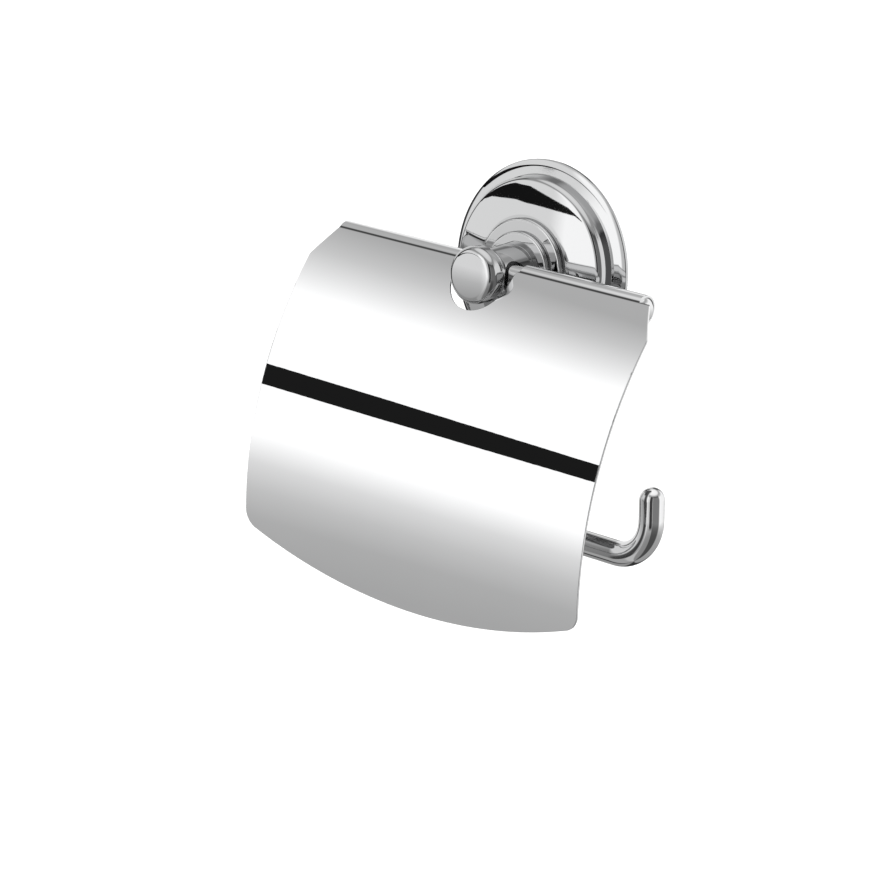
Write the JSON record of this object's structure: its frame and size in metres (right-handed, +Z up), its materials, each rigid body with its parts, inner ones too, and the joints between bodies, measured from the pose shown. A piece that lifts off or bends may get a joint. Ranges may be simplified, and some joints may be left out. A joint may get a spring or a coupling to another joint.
{
  "type": "toilet paper holder",
  "caption": "Chromed wall-mounted toilet paper holder: round rosette and post, swinging bent rod with an upturned hook, and a hinged curved sheet lid.",
  "frame": {"origin": "centre of the rosette on the wall, on the bracket's back face", "axes": "+X to the right along the wall as seen from the room, +Y into the wall, +Z up"},
  "size_m": [0.1459, 0.0549, 0.1432],
  "materials": {
    "chrome": "polished",
    "lid_chrome": "mirror polished sheet",
    "bracket_steel": "zinc plated",
    "screw_steel": "satin",
    "nylon": "black moulded"
  },
  "bodies": {
    "bracket": {"wall_bracket": "bracket_steel", "rosette": "chrome", "collar_base_ring": "chrome", "collar_top_ring": "chrome", "post": "chrome", "post_stud": "bracket_steel", "post_grub_screw": "screw_steel", "grub_pad": "nylon", "rosette_grub_screw": "screw_steel", "rod_bush_left": "nylon", "rod_bush_right": "nylon"},
    "rod": {"paper_rod": "chrome", "stop_pin": "screw_steel"},
    "lid": {"lid": "lid_chrome"}
  },
  "joints": [
    {"name": "rod_swing", "type": "hinge", "parent": "bracket", "child": "rod", "pos_m": [0, -0.0235, 0], "axis": [-1, 0, 0], "range_deg": [-12, 60]},
    {"name": "lid_hinge", "type": "hinge", "parent": "rod", "child": "lid", "pos_m": [0, -0.0235, 0], "axis": [-1, 0, 0], "range_deg": [0, 90]}
  ]
}
